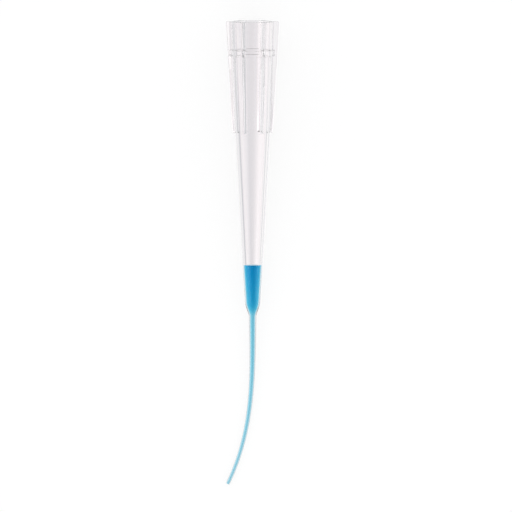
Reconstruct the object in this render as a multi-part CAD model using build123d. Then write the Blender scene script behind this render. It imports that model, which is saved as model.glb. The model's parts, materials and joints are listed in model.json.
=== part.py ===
from build123d import *
import os
from math import asin, atan, cos, degrees, radians, sin, sqrt

# Gel-loading pipette tip, in millimetres. One moulded body: a finned collar, a
# tapered barrel, and a fine capillary that bends to one side. A dyed liquid
# stands in the lower part of its bore.
#
# The tip is drawn upright: origin at the centre of the rim, +Z out of the
# mouth, the bend towards -X. Depths are measured down from the rim, along the
# centreline. It is then laid down as it comes to rest, mouth towards +Y, with
# the origin on the floor under the middle of its outline.

# Depths and lengths
overall_length = 62.0
collar_length = 14.75
band_top = 3.75
band_height = 0.88
meniscus_top = 32.3
meniscus_depth = 0.15
shoulder_top = 37.3
shoulder_length = 1.9
bend_start = 41.0

# Outer radii
rim_r = 2.73
collar_foot_r = 2.28
band_r = 2.8
barrel_end_r = 1.0
capillary_top_r = 0.51
capillary_mid_r = 0.344
capillary_end_r = 0.265

# Bore radii
mouth_bore_r = 2.31
seal_bore_r = 2.13
collar_foot_bore_r = 1.69
barrel_end_bore_r = 0.615
capillary_top_bore_r = 0.245
capillary_mid_bore_r = 0.19
capillary_end_bore_r = 0.145

# Fins, flush with the rim
fin_count = 6
fin_thickness = 0.42
fin_rim_r = 3.49
fin_foot_r = 2.65
fin_foot_round = 0.25
fin_edge_round = 0.16

# Rounding of the band's edges, and straight run-in of the curves that lead
# into and out of the shoulder
band_round = 0.18
shoulder_run_in = 0.53

# The bend: how far the capillary's end stands off the straight axis, and how
# far above level the bend points when the tip lies on two of its fins
bend_offset = 3.4
bend_lift_angle = 10.0

# Sections along the capillary, and steps in the search for where it rests
capillary_sections = 9
rest_search_steps = 200

os.makedirs("parts", exist_ok=True)

capillary_top = shoulder_top + shoulder_length
capillary_length = overall_length - capillary_top
band_foot = band_top + band_height
fin_pitch = 360 / fin_count

# Along the bend the offset grows with the cube of the way along the axis, so
# the curvature starts from nothing. This is the axial reach of such a curve of
# the given length and offset.
bend_length = overall_length - bend_start
bend_reach = (bend_length + sqrt(bend_length**2 - 3.6 * bend_offset**2)) / 2


def centreline(depth):
    """Plane across the bore at a depth, facing the way the bore runs."""
    share = max(0.0, depth - bend_start) / bend_length
    straight = min(depth, bend_start)
    return Plane(
        origin=(-bend_offset * share**3, 0, -straight - bend_reach * share),
        x_dir=(0, 1, 0),
        z_dir=(-3 * bend_offset * share**2, 0, -bend_reach),
    )


def capillary_r(depth, top_r, mid_r, end_r):
    """Radius that runs smoothly through its values at the top, middle and end."""
    share = (depth - capillary_top) / capillary_length
    bow = mid_r - (top_r + end_r) / 2
    return top_r + (end_r - top_r) * share + 4 * bow * share * (1 - share)


def capillary_slope(top_r, mid_r, end_r):
    """Change of radius per millimetre of depth at the capillary's top."""
    return (4 * mid_r - 3 * top_r - end_r) / capillary_length


def turned(edges):
    """Solid of revolution between the axis and a profile of edges in the XZ plane."""
    top, bottom = edges[0] @ 0, edges[-1] @ 1
    axis_top = Vector(0, 0, top.Z)
    axis_bottom = Vector(0, 0, bottom.Z)
    closing = [Line(axis_top, top), Line(bottom, axis_bottom), Line(axis_bottom, axis_top)]
    return revolve(make_face(edges + closing), Axis.Z)


def shoulder(top_r, top_slope, bottom_r, bottom_slope):
    """Smooth step from the barrel's taper down to the capillary's."""
    return Bezier(
        (top_r, 0, -shoulder_top),
        (top_r + top_slope * shoulder_run_in, 0, -shoulder_top - shoulder_run_in),
        (bottom_r - bottom_slope * shoulder_run_in, 0, -capillary_top + shoulder_run_in),
        (bottom_r, 0, -capillary_top),
    )


def tapered(points, end_radii):
    """Straight tapers through the points, the shoulder, then the bent capillary."""
    lines = [Line(a, b) for a, b in zip(points, points[1:])]
    (last_r, _, last_z), (foot_r, _, foot_z) = points[-2:]
    barrel_slope = (foot_r - last_r) / (last_z - foot_z)
    step = shoulder(foot_r, barrel_slope, end_radii[0], capillary_slope(*end_radii))
    upper = turned(lines + [step])
    sections = []
    for index in range(capillary_sections):
        depth = capillary_top + capillary_length * index / (capillary_sections - 1)
        sections.append(centreline(depth) * Circle(capillary_r(depth, *end_radii)))
    return upper + loft(sections)


def outer_form():
    """Collar wall, barrel, shoulder and capillary, filled solid."""
    points = [
        (rim_r, 0, 0),
        (collar_foot_r, 0, -collar_length),
        (barrel_end_r, 0, -shoulder_top),
    ]
    return tapered(points, (capillary_top_r, capillary_mid_r, capillary_end_r))


def bore_form():
    """The space inside: a tapered socket with a short parallel seat, then the bore."""
    points = [
        (mouth_bore_r, 0, 0),
        (seal_bore_r, 0, -band_top),
        (seal_bore_r, 0, -band_foot),
        (collar_foot_bore_r, 0, -collar_length),
        (barrel_end_bore_r, 0, -shoulder_top),
    ]
    radii = (capillary_top_bore_r, capillary_mid_bore_r, capillary_end_bore_r)
    return tapered(points, radii)


def band():
    """Raised band around the collar wall, level with the parallel seat inside."""
    ring = Pos(Z=-band_foot) * Cylinder(
        band_r, band_height, align=(Align.CENTER, Align.CENTER, Align.MIN)
    )
    return fillet(ring.edges().filter_by(GeomType.CIRCLE), band_round)


def fin(polar_angle):
    """One fin, from the axis out, with its lower corner and long edges rounded."""
    outline = make_face(
        Polyline(
            (0, 0, 0),
            (fin_rim_r, 0, 0),
            (fin_foot_r, 0, -collar_length),
            (0, 0, -collar_length),
            close=True,
        )
    )
    corner = outline.vertices().sort_by(Axis.Z)[:2].sort_by(Axis.X)[-1]
    blank = extrude(fillet(corner, fin_foot_round), fin_thickness / 2, both=True)
    outer_face = blank.faces().sort_by(Axis.X)[-1]
    long_edges = outer_face.edges().sort_by(SortBy.LENGTH)[-2:]
    return Rot(Z=polar_angle) * fillet(long_edges, fin_edge_round)


def tip_body():
    """The moulded body. Two fins stand evenly about the way that ends up down."""
    down = 90 - bend_lift_angle
    fins = [fin(down + fin_pitch * (index + 0.5)) for index in range(fin_count)]
    return outer_form() + band() + fins - bore_form()


def air_column():
    """The empty space above the liquid, rounded at the meniscus."""
    taper = (barrel_end_bore_r - collar_foot_bore_r) / (shoulder_top - collar_length)
    edge_r = barrel_end_bore_r + taper * (meniscus_top - shoulder_top)
    wide = 2 * rim_r
    edge = (edge_r, 0, -meniscus_top)
    centre = (0, 0, -meniscus_top - meniscus_depth)
    curve_r = (edge_r**2 + meniscus_depth**2) / (2 * meniscus_depth)
    half_angle = asin(edge_r / curve_r) / 2
    between = (
        curve_r * sin(half_angle),
        0,
        -meniscus_top - meniscus_depth + curve_r * (1 - cos(half_angle)),
    )
    around = Polyline(centre, (0, 0, 0), (wide, 0, 0), (wide, 0, -meniscus_top), edge)
    return revolve(make_face(around.edges() + [ThreePointArc(edge, between, centre)]), Axis.Z)


def blue_liquid():
    """Dyed liquid from the meniscus to the capillary's end, wetting the whole wall."""
    return bore_form() - air_column()


def fin_drop(radius):
    """How far below the axis the two lowest fins reach at a radius."""
    lean = radians(fin_pitch / 2)
    flat = fin_thickness / 2 - fin_edge_round
    return (radius - fin_edge_round) * cos(lean) + flat * sin(lean) + fin_edge_round


def undersides():
    """Depth along the axis and reach below it, at the shoulder and down the capillary."""
    found = [(shoulder_top, barrel_end_r)]
    for step in range(rest_search_steps + 1):
        depth = capillary_top + capillary_length * step / rest_search_steps
        place = centreline(depth).origin
        radius = capillary_r(depth, capillary_top_r, capillary_mid_r, capillary_end_r)
        found.append((-place.Z, radius + place.X * sin(radians(bend_lift_angle))))
    return found


def resting_tilt():
    """Angle of the axis to the floor with two fins and the far end touching it."""
    slopes = []
    for depth, drop in undersides():
        from_rim = (fin_drop(fin_rim_r) - drop) / depth
        from_foot = (fin_drop(fin_foot_r) - drop) / (depth - collar_length)
        slopes.append(max(from_rim, from_foot))
    return degrees(atan(min(slopes)))


def laid_down(shapes):
    """The shapes as they lie, with the middle of their outline over the origin."""
    turn = Rot(X=resting_tilt() - 90) * Rot(Z=bend_lift_angle)
    lying = [turn * shape for shape in shapes]
    box = Compound(children=[Compound([shape]) for shape in lying]).bounding_box()
    middle = box.center()
    return [Pos(-middle.X, -middle.Y, -box.min.Z) * shape for shape in lying]


names = ("tip_body", "blue_liquid")
for name, shape in zip(names, laid_down([tip_body(), blue_liquid()])):
    export_step(shape, f"parts/{name}.step")
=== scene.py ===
import json
import math

import bpy
import numpy as np
from mathutils import Matrix, Vector


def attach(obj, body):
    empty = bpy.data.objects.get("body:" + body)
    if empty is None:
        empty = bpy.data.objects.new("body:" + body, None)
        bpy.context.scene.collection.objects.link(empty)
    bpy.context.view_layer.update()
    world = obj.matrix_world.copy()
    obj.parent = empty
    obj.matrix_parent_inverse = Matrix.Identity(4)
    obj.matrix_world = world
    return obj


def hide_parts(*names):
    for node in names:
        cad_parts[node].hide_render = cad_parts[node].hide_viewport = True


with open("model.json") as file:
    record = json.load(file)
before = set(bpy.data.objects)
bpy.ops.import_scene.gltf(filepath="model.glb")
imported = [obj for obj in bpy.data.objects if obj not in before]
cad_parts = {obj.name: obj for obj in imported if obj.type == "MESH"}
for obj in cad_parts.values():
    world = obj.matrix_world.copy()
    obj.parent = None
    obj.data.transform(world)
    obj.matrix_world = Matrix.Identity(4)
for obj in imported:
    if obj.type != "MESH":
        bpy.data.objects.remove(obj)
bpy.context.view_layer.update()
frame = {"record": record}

# A gel-loading pipette tip of clear plastic that holds a blue liquid. It is built upright in its own
# axes, with the origin at the centre of the rim, +Z out of the mouth and the bend towards -X. It is
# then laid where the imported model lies. Depths are measured down from the rim, along the centreline.

MM = 0.001

# Depths and lengths
OVERALL_LENGTH = 62.0 * MM
COLLAR_LENGTH = 14.75 * MM
BAND_TOP = 3.75 * MM
BAND_HEIGHT = 0.88 * MM
MENISCUS_TOP = 32.3 * MM
MENISCUS_DEPTH = 0.15 * MM
SHOULDER_TOP = 37.3 * MM
SHOULDER_LENGTH = 1.9 * MM
BEND_START = 41.0 * MM

# Outer radii, the capillary's at its top, middle and end
RIM_R = 2.73 * MM
COLLAR_FOOT_R = 2.28 * MM
BAND_R = 2.8 * MM
BARREL_END_R = 1.0 * MM
CAPILLARY_OUTER = (0.51 * MM, 0.344 * MM, 0.265 * MM)

# Bore radii, the capillary's at its top, middle and end
MOUTH_BORE_R = 2.31 * MM
SEAL_BORE_R = 2.13 * MM
COLLAR_FOOT_BORE_R = 1.69 * MM
BARREL_END_BORE_R = 0.615 * MM
CAPILLARY_BORE = (0.245 * MM, 0.19 * MM, 0.145 * MM)

# Fins. Their thicknesses are given at the rim and at the feet. The edge's rounding is a share of
# half its thickness.
FIN_COUNT = 6
FIN_ROOT_THICKNESS = (0.69 * MM, 0.55 * MM)
FIN_EDGE_THICKNESS = (0.25 * MM, 0.3 * MM)
FIN_RIM_R = 3.49 * MM
FIN_FOOT_R = 2.65 * MM
FIN_FOOT_ROUND = 0.25 * MM
FIN_EDGE_ROUNDING = 0.97
FIN_ROOT_FILLET = 0.1 * MM

# Rounded edges, and how much lower the fins' feet lie at the wall than at their corners
BAND_ROUND = 0.12 * MM
RIM_ROUND = 0.08 * MM
END_ROUND = 0.02 * MM
FOOT_SLOPE = 0.02 * MM

# Straight run-in of the curves into and out of the shoulder, and the bend: how far the capillary's
# end stands off the straight axis, and how far above level the bend points when the tip lies
SHOULDER_RUN_IN = 0.53 * MM
BEND_OFFSET = 3.4 * MM
BEND_LIFT_ANGLE = math.radians(10.0)

# How far the liquid's skin lies inside the wall, so that no film of air shows between them
WETTING = 0.01 * MM

# Mesh density. Points nearer than SAME_PLACE are one, and a turn past SHARP_ANGLE shows as an edge.
GAP_STEPS = 10
FILLET_STEPS = 5
ROUND_STEPS = 8
CURVE_STEPS = 12
BEND_STEPS = 40
LOOP_SPACING = 2.0 * MM
SAME_PLACE = 1e-6 * MM
SHARP_ANGLE = math.radians(32)

# Plastic: the two tints that its haze runs between, the haze's grain and roughness, and its gloss
PLASTIC_IOR = 1.49
PLASTIC_TINTS = ((0.985, 0.957, 0.965, 1), (0.995, 0.972, 0.978, 1))
PLASTIC_GLOSS = (0.4, 0.4, 0.4, 1)
HAZE_SCALE = 900.0
HAZE_DETAIL = 3.0
HAZE_ROUGHNESS = 0.01

# Liquid: the two tints that its clouds run between, the clouds' grain, and the dye
LIQUID_IOR = 1.333
LIQUID_TINTS = ((0.94, 0.97, 0.99, 1), (0.98, 0.99, 1.0, 1))
CLOUD_SCALE = 300.0
CLOUD_DETAIL = 2.0
DYE_COLOUR = (0.0, 0.76, 0.905, 1)
DYE_DENSITY = 3050.0

# The studio's tones, by the angle from straight down as seen along the tip, in degrees, positive to
# the right. Two long softboxes stand beside the tip, one on each side, and nothing stands overhead.
# Between -90 and 90 these are painted shadow: the tones of the white floor in the tip's soft shadow,
# painted into the world below the horizon, which clear pieces see in the floor's place.
STUDIO_AND_PAINTED_SHADOW_TONES = (
    (-180, 0.05), (-160, 0.15), (-150, 0.85), (-130, 1.6), (-110, 1.7), (-100, 1.05), (-90, 0.9),
    (-75, 0.85), (-58, 0.55), (-30, 0.9), (-12, 0.92), (0, 0.78), (12, 0.98), (28, 1.0), (45, 0.7),
    (62, 1.0), (100, 0.95), (120, 1.6), (140, 0.7), (152, 0.2), (180, 0.05),
)
# A tone leans from grey to blue by this share of how far it is below white. Above the horizon this
# tints the room's light, and below it this is a painted blue in the painted floor shadow.
COOL_SHADE = 0.09

# The studio's ends, past the softboxes: the light that they give, and what clear pieces show of
# them above the horizon and of the floor below it. What clear pieces show is painted shade, darker
# than the light that the ends give, and below the horizon it is a painted floor tone. The sides give
# way to the ends as a direction's part along the tip goes through END_EDGE, and the floor to the room
# above it as the upward part goes through HORIZON_EDGE.
END_LIGHT = 1.55
END_SHOWN_PAINTED_DARK = 0.2
END_PAINTED_FLOOR = 0.8
END_EDGE = (0.3, 0.6)
HORIZON_EDGE = (-0.1, 0.1)

# The floor: how far it reaches each way, the colour of the light that it throws back, and the share
# by which its shadow is lightened to the eye
FLOOR_REACH = 3.0
FLOOR_BOUNCE = (0.8, 0.8, 0.8, 1)
SHADOW_LIGHTENING = 0.88
WHITE = (1.0, 1.0, 1.0, 1)

# The camera: the side of its square view at the tip, where the middle of the rim lies in it, and how
# it is turned from square on, into the mouth and round the axis
VIEW_SIDE = 67.6 * MM
RIM_LEFT_OF_CENTRE = 0.46 * MM
RIM_ABOVE_CENTRE = 30.97 * MM
LOOK_INTO_MOUTH = math.radians(5.7)
LOOK_ROUND_AXIS = math.radians(3.1)
LENS_MM = 400.0
SENSOR_MM = 36.0
NEAREST_SEEN = 0.01
FARTHEST_SEEN = 20.0

# Light crosses many walls in the tip, and each total reflection inside one counts as a glossy bounce
BOUNCES = 32
GLOSSY_BOUNCES = 12

# Worked out from the sizes above. Along the bend the offset grows with the cube of the way along the
# axis. The length of such a curve is about its axial reach, plus 0.9 of its offset squared over that
# reach, and BEND_REACH is the reach that gives the bend its length.
BAND_FOOT = BAND_TOP + BAND_HEIGHT
SEAT_DEPTH = BAND_TOP + BAND_HEIGHT / 2
CAPILLARY_TOP = SHOULDER_TOP + SHOULDER_LENGTH
CAPILLARY_LENGTH = OVERALL_LENGTH - CAPILLARY_TOP
BEND_LENGTH = OVERALL_LENGTH - BEND_START
BEND_REACH = (BEND_LENGTH + math.sqrt(BEND_LENGTH**2 - 3.6 * BEND_OFFSET**2)) / 2
HALF_PITCH = math.pi / FIN_COUNT
BRIGHTEST = max(tone for _, tone in STUDIO_AND_PAINTED_SHADOW_TONES)


# ---------------------------------------------------------------- where the tip lies


def tip_axes():
    """Rim centre and the tip's own axes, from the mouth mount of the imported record."""
    mouth = next(mount for mount in frame["record"]["mounts"] if mount["name"] == "mouth")
    out = Vector(mouth["axis"]).normalized()
    rim = Vector(mouth["pos_m"]) + out * SEAT_DEPTH
    level = Vector((1, 0, 0))
    down = out.cross(level)
    cosine, sine = math.cos(BEND_LIFT_ANGLE), math.sin(BEND_LIFT_ANGLE)
    across = level * cosine + down * sine
    through = down * cosine - level * sine
    return rim, across, through, out


RIM, ACROSS, THROUGH, OUT = tip_axes()
TO_WORLD = Matrix((ACROSS, THROUGH, OUT)).transposed().to_4x4()
TO_WORLD.translation = RIM


def centreline(depth):
    """Point on the centreline and the in-plane direction across it, in the tip's axes."""
    share = max(0.0, depth - BEND_START) / BEND_LENGTH
    point = np.array([-BEND_OFFSET * share**3, 0, -min(depth, BEND_START) - BEND_REACH * share])
    slope = 3 * BEND_OFFSET * share**2 / BEND_REACH
    side = np.array([1, 0, -slope]) / math.hypot(1, slope)
    return point, side


# ---------------------------------------------------------------- radii along the tip

# A run is a list of (depth, radius), from the top down.


def taper(depth, top, bottom, top_r, bottom_r):
    return top_r + (bottom_r - top_r) * (depth - top) / (bottom - top)


def wall_r(depth):
    return taper(depth, 0, COLLAR_LENGTH, RIM_R, COLLAR_FOOT_R)


def fin_r(depth):
    return taper(depth, 0, COLLAR_LENGTH, FIN_RIM_R, FIN_FOOT_R)


def barrel_bore_r(depth):
    return taper(depth, COLLAR_LENGTH, SHOULDER_TOP, COLLAR_FOOT_BORE_R, BARREL_END_BORE_R)


def capillary_r(depth, radii):
    """Radius that runs smoothly through its values at the top, middle and end."""
    top_r, mid_r, end_r = radii
    share = (depth - CAPILLARY_TOP) / CAPILLARY_LENGTH
    bow = mid_r - (top_r + end_r) / 2
    return top_r + (end_r - top_r) * share + 4 * bow * share * (1 - share)


def without_repeats(run):
    kept = [run[0]]
    for point in run[1:]:
        if max(abs(a - b) for a, b in zip(point, kept[-1])) > SAME_PLACE:
            kept.append(point)
    return kept


def spaced(top, bottom):
    """Depths from top to bottom, both included, no further apart than the loop spacing."""
    count = max(1, math.ceil((bottom - top) / LOOP_SPACING))
    return [top + (bottom - top) * i / count for i in range(count + 1)]


def straight_run(points):
    """A run of straight tapers through the points."""
    run = []
    for (top, top_r), (bottom, bottom_r) in zip(points, points[1:]):
        run += [(depth, taper(depth, top, bottom, top_r, bottom_r)) for depth in spaced(top, bottom)]
    return without_repeats(run)


def shoulder_run(collar_foot_r, barrel_end_r, radii):
    """A run down the smooth step between the barrel's taper and the capillary's."""
    top_slope = (barrel_end_r - collar_foot_r) / (SHOULDER_TOP - COLLAR_LENGTH)
    bottom_slope = (4 * radii[1] - 3 * radii[0] - radii[2]) / CAPILLARY_LENGTH
    corners = np.array([
        (SHOULDER_TOP, barrel_end_r),
        (SHOULDER_TOP + SHOULDER_RUN_IN, barrel_end_r + top_slope * SHOULDER_RUN_IN),
        (CAPILLARY_TOP - SHOULDER_RUN_IN, radii[0] - bottom_slope * SHOULDER_RUN_IN),
        (CAPILLARY_TOP, radii[0]),
    ])
    run = []
    for step in range(CURVE_STEPS + 1):
        t = step / CURVE_STEPS
        weights = ((1 - t) ** 3, 3 * t * (1 - t) ** 2, 3 * t * t * (1 - t), t**3)
        run.append(tuple(np.dot(weights, corners)))
    return run


def capillary_run(radii):
    """A run down the capillary, with its loops closer together along the bend."""
    depths = spaced(CAPILLARY_TOP, BEND_START)
    depths += [BEND_START + BEND_LENGTH * i / BEND_STEPS for i in range(1, BEND_STEPS + 1)]
    return [(depth, capillary_r(depth, radii)) for depth in depths]


def rounded(size, steps=ROUND_STEPS):
    """Places along a rounded edge, from its first face to its second, as how far in from each they lie."""
    angles = [math.pi / 2 * i / steps for i in range(steps + 1)]
    return [(size * (1 - math.cos(angle)), size * (1 - math.sin(angle))) for angle in angles]


# ---------------------------------------------------------------- cross-sections

# An outline is an array of rows (x, y, facing x, facing y), clockwise as seen from the mouth. A loop
# is an outline at its depth: its points, and the anticlockwise direction along it at each.


def arc(centre, radius, start, end, steps, facing=1):
    """Rows of an outline along an arc. Facing is 1 away from the arc's centre and -1 towards it."""
    angles = start + (end - start) * np.arange(steps + 1) / steps
    away = np.column_stack([np.cos(angles), np.sin(angles)])
    return np.hstack([centre + radius * away, facing * away])


def half_fin(depth, root_r, edge_r, inset=0.0):
    """Rows from the middle of a gap to the middle of a fin that lies along x.

    They run along the wall, over the fillet at the fin's root, up its drafted flank and round its
    edge. The flank is set by the wall and the fin's edge, so it keeps its place where the band
    raises the root. All of it can be drawn in by an inset.
    """
    root_y = taper(depth, 0, COLLAR_LENGTH, *FIN_ROOT_THICKNESS) / 2 + FIN_ROOT_FILLET
    edge_y = taper(depth, 0, COLLAR_LENGTH, *FIN_EDGE_THICKNESS) / 2
    rounding = FIN_EDGE_ROUNDING * edge_y
    tip = np.array([edge_r - rounding, edge_y - rounding])
    # The flank touches the root's fillet, which lies outside it, and the edge's rounding inside it
    apart = tip - (math.sqrt((wall_r(depth) + FIN_ROOT_FILLET) ** 2 - root_y**2), root_y)
    draft = math.acos((FIN_ROOT_FILLET + rounding) / np.hypot(*apart)) - math.atan2(apart[0], -apart[1])
    outward = np.array([math.sin(draft), math.cos(draft)])
    # The fillet slides along the flank until it touches the root's own radius
    reach = outward @ tip + rounding + FIN_ROOT_FILLET
    slide = math.sqrt((root_r + FIN_ROOT_FILLET) ** 2 - reach**2)
    root = reach * outward + slide * outward[::-1] * (1, -1)
    root_angle = math.atan2(root[1], root[0])
    gap = arc((0, 0), root_r - inset, HALF_PITCH, root_angle, GAP_STEPS)
    turn = root_angle + math.pi, 1.5 * math.pi - draft
    hollow = arc(root, FIN_ROOT_FILLET + inset, *turn, FILLET_STEPS, facing=-1)
    crest = arc(tip, rounding - inset, math.pi / 2 - draft, 0.0, ROUND_STEPS)
    return np.vstack([gap, hollow[1:], crest, [(edge_r - inset, 0, 1, 0)]])


# The angles of the half fin's points at the fins' feet, which plain circles share
SPOKE_ANGLES = np.arctan2(*half_fin(COLLAR_LENGTH, COLLAR_FOOT_R, FIN_FOOT_R)[:, 1::-1].T)


def around(half):
    """Rows for half a fin, mirrored and repeated round the axis into a whole outline."""
    mirrored = half[::-1][1:-1] * (1, -1, 1, -1)
    pitch = np.vstack([half, mirrored]).reshape(-1, 2, 2)
    first = math.pi / 2 - BEND_LIFT_ANGLE + HALF_PITCH
    outline = []
    for fin in range(FIN_COUNT):
        angle = first - 2 * HALF_PITCH * fin
        cosine, sine = math.cos(angle), math.sin(angle)
        outline.append(pitch @ np.array([[cosine, sine], [-sine, cosine]]))
    return np.vstack(outline).reshape(-1, 4)


def placed(outline, depth):
    """The loop of an outline at a depth, in the tip's axes."""
    point, side = centreline(depth)
    axes = np.array([side, (0, 1, 0)])
    along = outline[:, 2:] @ np.array([(0, 1), (-1, 0)])
    return point + outline[:, :2] @ axes, along @ axes


def finned_loop(depth, root_r=None, edge_r=None, inset=0.0):
    """A loop round wall and fins, at their own radii where no others are given."""
    root_r = wall_r(depth) if root_r is None else root_r
    edge_r = fin_r(depth) if edge_r is None else edge_r
    return placed(around(half_fin(depth, root_r, edge_r, inset)), depth)


def round_loops(run):
    """A plain round loop at each place of a run."""
    away = np.column_stack([np.cos(SPOKE_ANGLES), np.sin(SPOKE_ANGLES)])
    return [placed(around(np.hstack([radius * away, away])), depth) for depth, radius in run]


# ---------------------------------------------------------------- the skin over loops


def unit(vectors):
    return vectors / np.linalg.norm(vectors, axis=-1, keepdims=True)


def surface_normals(points, along, capped):
    """True normals at each loop, for the strip below it and for the strip above it."""
    below = np.roll(points, -1, axis=0) - points
    above = np.roll(below, 1, axis=0)
    sharp = np.sum(unit(below) * unit(above), axis=-1) < math.cos(SHARP_ANGLE)
    if capped:
        sharp[[0, -1]] = True
    sharp = sharp[..., None]
    from_below = np.cross(np.where(sharp, below, below + above), along)
    from_above = np.cross(np.where(sharp, above, below + above), along)
    return unit(from_below), unit(from_above)


def face_corners(upper, lower):
    """What each face of the strips takes at its four corners, from values round its two loops."""
    corners = [upper, np.roll(upper, -1, axis=1), np.roll(lower, -1, axis=1), lower]
    return np.stack(corners, axis=2)


def caps(points, index):
    """A point in the middle of each end loop, and the faces that join it to that loop."""
    middle = index.size
    middles = [points[0].mean(axis=0).tolist(), points[-1].mean(axis=0).tolist()]
    faces = [(b, a, middle) for a, b in zip(index[0], np.roll(index[0], -1))]
    faces += [(a, b, middle + 1) for a, b in zip(index[-1], np.roll(index[-1], -1))]
    return middles, faces


def skinned(name, loops, wetted, capped=False):
    """A closed mesh over loops. Either the last loop joins the first, or both ends are capped.

    wetted says of each loop whether liquid and wall touch in the strip that starts there.
    """
    points = np.array([loop[0] for loop in loops])
    along = np.array([loop[1] for loop in loops])
    from_below, from_above = surface_normals(points, along, capped)
    index = np.arange(points[..., 0].size).reshape(points.shape[:2])
    faces = face_corners(index, np.roll(index, -1, axis=0))
    normals = face_corners(from_below, np.roll(from_above, -1, axis=0))
    if capped:
        faces, normals = faces[:-1], normals[:-1]
    wet = np.repeat(np.array(wetted, dtype=float)[:len(faces)], faces.shape[1])
    vertices = points.reshape(-1, 3).tolist()
    faces = faces.reshape(-1, 4).tolist()
    quads = len(faces)
    if capped:
        middles, end_faces = caps(points, index)
        vertices += middles
        faces += end_faces
    data = bpy.data.meshes.new(name)
    data.from_pydata(vertices, [], faces, shade_flat=False)
    data.transform(TO_WORLD)
    data.update()
    normals = (normals.reshape(-1, 3) @ np.array(TO_WORLD.to_3x3()).T).tolist()
    for face in data.polygons[quads:]:
        normals += [face.normal[:]] * 3
    data.normals_split_custom_set(normals)
    touching = data.attributes.new("wetted", "FLOAT", "FACE")
    touching.data.foreach_set("value", np.pad(wet, (0, len(faces) - quads)))
    piece = bpy.data.objects.new(name, data)
    bpy.context.scene.collection.objects.link(piece)
    return piece


# ---------------------------------------------------------------- the moulded body


def rim_loops():
    """From the flat rim round its outer edge."""
    return [finned_loop(down, inset=inward) for down, inward in rounded(RIM_ROUND)]


def band_loops():
    """The raised band, with its edges rounded."""
    edge = [(down, BAND_R - inward) for down, inward in rounded(BAND_ROUND)]
    run = [(BAND_TOP, wall_r(BAND_TOP))]
    run += [(BAND_TOP + down, radius) for down, radius in edge]
    run += [(BAND_FOOT - up, radius) for up, radius in edge[::-1]]
    run.append((BAND_FOOT, wall_r(BAND_FOOT)))
    return [finned_loop(depth, root_r=radius) for depth, radius in run]


def foot_loops():
    """The rounded corners of the fins' feet."""
    loops = []
    for inward, up in rounded(FIN_FOOT_ROUND, 2 * ROUND_STEPS)[1:]:
        depth = COLLAR_LENGTH - up
        loops.append(finned_loop(depth, edge_r=fin_r(depth) - inward))
    return loops


def collar_loops():
    """From under the rim, over the band, to the fins' feet."""
    above = spaced(RIM_ROUND, BAND_TOP)[1:-1]
    below = spaced(BAND_FOOT, COLLAR_LENGTH - FIN_FOOT_ROUND)[1:]
    loops = [finned_loop(depth) for depth in above] + band_loops()
    return loops + [finned_loop(depth) for depth in below] + foot_loops()


def barrel_loops():
    """From under the fins' feet to the capillary's rounded end."""
    run = straight_run([(COLLAR_LENGTH, COLLAR_FOOT_R), (SHOULDER_TOP, BARREL_END_R)])
    run[0] = (COLLAR_LENGTH + FOOT_SLOPE, COLLAR_FOOT_R)
    run += shoulder_run(COLLAR_FOOT_R, BARREL_END_R, CAPILLARY_OUTER)
    run += capillary_run(CAPILLARY_OUTER)[:-1]
    end_r = CAPILLARY_OUTER[-1]
    run += [(OVERALL_LENGTH - up, end_r - inward) for up, inward in rounded(END_ROUND)[::-1]]
    return round_loops(without_repeats(run))


def bore_run():
    """The whole bore, from the rounded mouth to the capillary's end."""
    run = [(down, MOUTH_BORE_R + outward) for down, outward in rounded(RIM_ROUND)]
    run += straight_run([
        (RIM_ROUND, MOUTH_BORE_R),
        (BAND_TOP, SEAL_BORE_R),
        (BAND_FOOT, SEAL_BORE_R),
        (COLLAR_LENGTH, COLLAR_FOOT_BORE_R),
        (MENISCUS_TOP, barrel_bore_r(MENISCUS_TOP)),
        (SHOULDER_TOP, BARREL_END_BORE_R),
    ])
    run += shoulder_run(COLLAR_FOOT_BORE_R, BARREL_END_BORE_R, CAPILLARY_BORE)
    run += capillary_run(CAPILLARY_BORE)
    return without_repeats(run)


def make_body():
    """The moulding, down its outside and back up its bore."""
    outside = rim_loops() + collar_loops() + barrel_loops()
    bore = bore_run()[::-1]
    wetted = [False] * len(outside) + [depth >= MENISCUS_TOP for depth, _ in bore[1:]] + [False]
    return skinned("clear_body", outside + round_loops(bore), wetted)


# ---------------------------------------------------------------- the liquid


def make_liquid():
    """The liquid from its meniscus down, wetting the wall."""
    edge_r = barrel_bore_r(MENISCUS_TOP) + WETTING
    meniscus = []
    for step in range(1, CURVE_STEPS + 1):
        share = step / CURVE_STEPS
        meniscus.append((MENISCUS_TOP + MENISCUS_DEPTH * (1 - share**2), edge_r * share))
    below = [(depth, radius + WETTING) for depth, radius in bore_run() if depth > MENISCUS_TOP]
    wetted = [False] * (len(meniscus) - 1) + [True] * (len(below) + 1)
    return skinned("liquid_column", round_loops(meniscus + below), wetted, capped=True)


# ---------------------------------------------------------------- materials


def new_material(name):
    material = bpy.data.materials.new(name)
    material.use_nodes = True
    tree = material.node_tree
    tree.nodes.clear()
    return material, tree


def add(tree, kind, **values):
    """A node with values on its own sockets."""
    node = tree.nodes.new(kind)
    for key, value in values.items():
        node.inputs[key.replace("_", " ")].default_value = value
    return node


def refraction(tree, shader, dry, wetted):
    """Bends light as against air, and less where liquid and wall touch."""
    touching = tree.nodes.new("ShaderNodeAttribute")
    touching.attribute_name = "wetted"
    index = add(tree, "ShaderNodeMapRange", To_Min=dry, To_Max=wetted)
    tree.links.new(touching.outputs["Fac"], index.inputs["Value"])
    tree.links.new(index.outputs["Result"], shader.inputs["IOR"])


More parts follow.
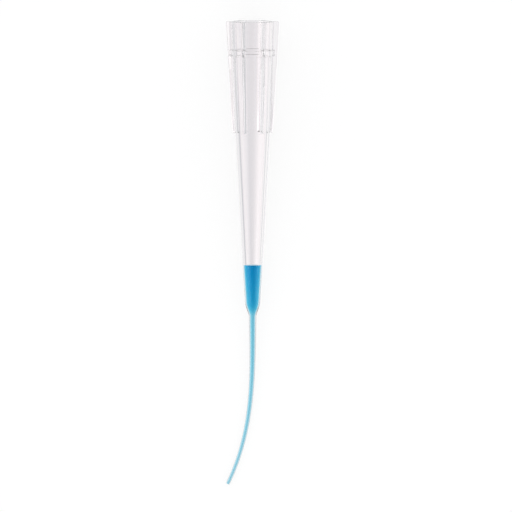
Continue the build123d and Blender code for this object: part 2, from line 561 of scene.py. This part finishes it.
def clouded(tree, shader, scale, detail, tints):
    """Tints a shader with soft clouds, which run from the first tint to the second, and gives them."""
    place = tree.nodes.new("ShaderNodeTexCoord")
    clouds = add(tree, "ShaderNodeTexNoise", Scale=scale, Detail=detail)
    colour = tree.nodes.new("ShaderNodeValToRGB")
    for mark, tint in zip(colour.color_ramp.elements, tints):
        mark.color = tint
    tree.links.new(place.outputs["Object"], clouds.inputs["Vector"])
    tree.links.new(clouds.outputs["Fac"], colour.inputs["Fac"])
    tree.links.new(colour.outputs["Color"], shader.inputs["Base Color"])
    return clouds.outputs["Fac"]


def clear_plastic():
    """Clear moulded polypropylene, with a faint haze."""
    material, tree = new_material("clear_polypropylene")
    shader = add(tree, "ShaderNodeBsdfPrincipled", Transmission_Weight=1.0, Specular_Tint=PLASTIC_GLOSS)
    refraction(tree, shader, PLASTIC_IOR, PLASTIC_IOR / LIQUID_IOR)
    haze = clouded(tree, shader, HAZE_SCALE, HAZE_DETAIL, PLASTIC_TINTS)
    rough = add(tree, "ShaderNodeMapRange", To_Min=0.0, To_Max=HAZE_ROUGHNESS)
    tree.links.new(haze, rough.inputs["Value"])
    tree.links.new(rough.outputs["Result"], shader.inputs["Roughness"])
    output = tree.nodes.new("ShaderNodeOutputMaterial")
    tree.links.new(shader.outputs["BSDF"], output.inputs["Surface"])
    return material


def dyed_liquid():
    """Clear water with a blue dye. Where it wets the wall, the wall alone bends the light."""
    material, tree = new_material("blue_dyed_liquid")
    shader = add(tree, "ShaderNodeBsdfPrincipled", Transmission_Weight=1.0, Roughness=0.0)
    refraction(tree, shader, LIQUID_IOR, 1.0)
    clouded(tree, shader, CLOUD_SCALE, CLOUD_DETAIL, LIQUID_TINTS)
    dye = add(tree, "ShaderNodeVolumeAbsorption", Color=DYE_COLOUR, Density=DYE_DENSITY)
    output = tree.nodes.new("ShaderNodeOutputMaterial")
    tree.links.new(shader.outputs["BSDF"], output.inputs["Surface"])
    tree.links.new(dye.outputs["Volume"], output.inputs["Volume"])
    return material


# ---------------------------------------------------------------- stage, light and camera


def math_node(tree, operation, first, second=None):
    """A maths node's result. Each input is a socket or a number."""
    node = tree.nodes.new("ShaderNodeMath")
    node.operation = operation
    for socket, value in zip(node.inputs, (first, second)):
        if isinstance(value, bpy.types.NodeSocket):
            tree.links.new(value, socket)
        elif value is not None:
            socket.default_value = value
    return node.outputs[0]


def ramp(tree, value, start, end, low=0.0, high=1.0):
    """Runs smoothly from low to high as the value goes from start to end."""
    node = add(tree, "ShaderNodeMapRange", From_Min=start, From_Max=end, To_Min=low, To_Max=high)
    node.interpolation_type = "SMOOTHSTEP"
    tree.links.new(value, node.inputs["Value"])
    return node.outputs["Result"]


def mixed(tree, kind, share, first, second):
    """From the first to the second as the share goes from 0 to 1, for numbers or colours."""
    node = tree.nodes.new("ShaderNodeMix")
    node.data_type = kind
    sockets = [socket for socket in node.inputs if socket.enabled]
    for value, socket in zip((share, first, second), sockets):
        tree.links.new(value, socket)
    return next(socket for socket in node.outputs if socket.enabled)


def seen_in_clear_pieces(tree, path):
    """1 for what is seen through a clear piece or mirrored in it, and 0 otherwise."""
    return math_node(tree, "MAXIMUM", path.outputs["Is Transmission Ray"], path.outputs["Is Glossy Ray"])


def tones(tree, across, down):
    """The studio's colour, and below the horizon the painted floor shadow, as a share of its brightest, by
    the angle from straight down.
    """
    angle = math_node(tree, "DEGREES", math_node(tree, "ARCTAN2", across, down))
    share = add(tree, "ShaderNodeMapRange", From_Min=-180.0, From_Max=180.0)
    tree.links.new(angle, share.inputs["Value"])
    scale = tree.nodes.new("ShaderNodeValToRGB")
    marks = scale.color_ramp.elements
    for _ in STUDIO_AND_PAINTED_SHADOW_TONES[2:]:
        marks.new(0.5)
    for mark, (degrees, tone) in zip(marks, STUDIO_AND_PAINTED_SHADOW_TONES):
        cool = COOL_SHADE * max(0.0, 1 - tone)
        mark.position = (degrees + 180) / 360
        mark.color = [tone / BRIGHTEST * part for part in (1 - cool, 1, 1 + cool)] + [1]
    tree.links.new(share.outputs["Result"], scale.inputs["Fac"])
    return scale.outputs["Color"]


def light_stage():
    """The studio's light by its direction: softboxes along both sides, plain light from the ends, and for
    what clear pieces see, a painted floor shadow below the horizon and painted darker ends.
    """
    world = bpy.data.worlds.new("studio")
    bpy.context.scene.world = world
    world.use_nodes = True
    tree = world.node_tree
    direction = tree.nodes.new("ShaderNodeTexCoord")
    parts = tree.nodes.new("ShaderNodeSeparateXYZ")
    tree.links.new(direction.outputs["Generated"], parts.inputs["Vector"])
    x, y, z = parts.outputs
    sides = tones(tree, x, math_node(tree, "MULTIPLY", z, -1.0))
    seen = seen_in_clear_pieces(tree, tree.nodes.new("ShaderNodeLightPath"))
    # What clear pieces see of the ends is painted shade, darker than the light that the ends give
    room_end = ramp(tree, seen, 0.0, 1.0, END_LIGHT / BRIGHTEST, END_SHOWN_PAINTED_DARK / BRIGHTEST)
    floor_end = ramp(tree, seen, 0.0, 1.0, END_LIGHT / BRIGHTEST, END_PAINTED_FLOOR / BRIGHTEST)
    ends = mixed(tree, "FLOAT", ramp(tree, z, *HORIZON_EDGE), floor_end, room_end)
    beyond = ramp(tree, math_node(tree, "ABSOLUTE", y), *END_EDGE)
    sky = tree.nodes["Background"]
    sky.inputs["Strength"].default_value = BRIGHTEST
    tree.links.new(mixed(tree, "RGBA", beyond, sides, ends), sky.inputs["Color"])


def white_floor():
    """White to the eye, with a lightened shadow, and pale in the light that it throws back.

    Clear pieces show the world below the horizon in its place, with its painted floor shadow, so it is
    open to what is seen in them.
    """
    material, tree = new_material("white_floor")
    path = tree.nodes.new("ShaderNodeLightPath")
    pale = add(tree, "ShaderNodeBsdfDiffuse", Color=FLOOR_BOUNCE)
    white = add(tree, "ShaderNodeBsdfDiffuse", Color=WHITE)
    glow = add(tree, "ShaderNodeEmission", Color=WHITE, Strength=1.0)
    open_floor = tree.nodes.new("ShaderNodeBsdfTransparent")
    lightened = add(tree, "ShaderNodeMixShader", Fac=SHADOW_LIGHTENING)
    tree.links.new(white.outputs["BSDF"], lightened.inputs[1])
    tree.links.new(glow.outputs["Emission"], lightened.inputs[2])
    looks = (
        # Seen in clear pieces, the floor opens onto the world's painted floor shadow
        (seen_in_clear_pieces(tree, path), open_floor.outputs["BSDF"]),
        (path.outputs["Is Camera Ray"], lightened.outputs["Shader"]),
    )
    shader = pale.outputs["BSDF"]
    for seen, look in looks:
        switch = tree.nodes.new("ShaderNodeMixShader")
        tree.links.new(seen, switch.inputs["Fac"])
        tree.links.new(shader, switch.inputs[1])
        tree.links.new(look, switch.inputs[2])
        shader = switch.outputs["Shader"]
    output = tree.nodes.new("ShaderNodeOutputMaterial")
    tree.links.new(shader, output.inputs["Surface"])
    return material


def make_floor():
    data = bpy.data.meshes.new("floor")
    corners = [(FLOOR_REACH * x, FLOOR_REACH * y, 0) for x, y in ((-1, -1), (1, -1), (1, 1), (-1, 1))]
    data.from_pydata(corners, [], [(0, 1, 2, 3)])
    floor = bpy.data.objects.new("floor", data)
    floor.data.materials.append(white_floor())
    bpy.context.scene.collection.objects.link(floor)


def make_camera():
    """A camera far above the tip, turned so that the mouth is at the top of its view."""
    up_from_axis = THROUGH * -math.cos(BEND_LIFT_ANGLE) - ACROSS * math.sin(BEND_LIFT_ANGLE)
    left = Vector((-1, 0, 0))
    beside = up_from_axis * math.cos(LOOK_ROUND_AXIS) + left * math.sin(LOOK_ROUND_AXIS)
    back = beside * math.cos(LOOK_INTO_MOUTH) + OUT * math.sin(LOOK_INTO_MOUTH)
    up = (OUT - back * OUT.dot(back)).normalized()
    right = up.cross(back)
    centre = RIM + right * RIM_LEFT_OF_CENTRE - up * RIM_ABOVE_CENTRE
    distance = VIEW_SIDE * LENS_MM / SENSOR_MM
    data = bpy.data.cameras.new("camera")
    data.lens = LENS_MM
    data.sensor_width = SENSOR_MM
    data.clip_start = NEAREST_SEEN
    data.clip_end = FARTHEST_SEEN
    camera = bpy.data.objects.new("camera", data)
    camera.matrix_world = Matrix((right, up, back)).transposed().to_4x4()
    camera.location = centre + back * distance
    bpy.context.scene.collection.objects.link(camera)
    bpy.context.scene.camera = camera


# ---------------------------------------------------------------- the scene

body = make_body()
body.data.materials.append(clear_plastic())
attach(body, "root")
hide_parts("tip_body")

liquid = make_liquid()
liquid.data.materials.append(dyed_liquid())
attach(liquid, "root")
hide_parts("blue_liquid")

make_floor()
light_stage()
make_camera()
bpy.context.scene.view_settings.view_transform = "Standard"
bpy.context.scene.cycles.max_bounces = BOUNCES
bpy.context.scene.cycles.transmission_bounces = BOUNCES
bpy.context.scene.cycles.glossy_bounces = GLOSSY_BOUNCES
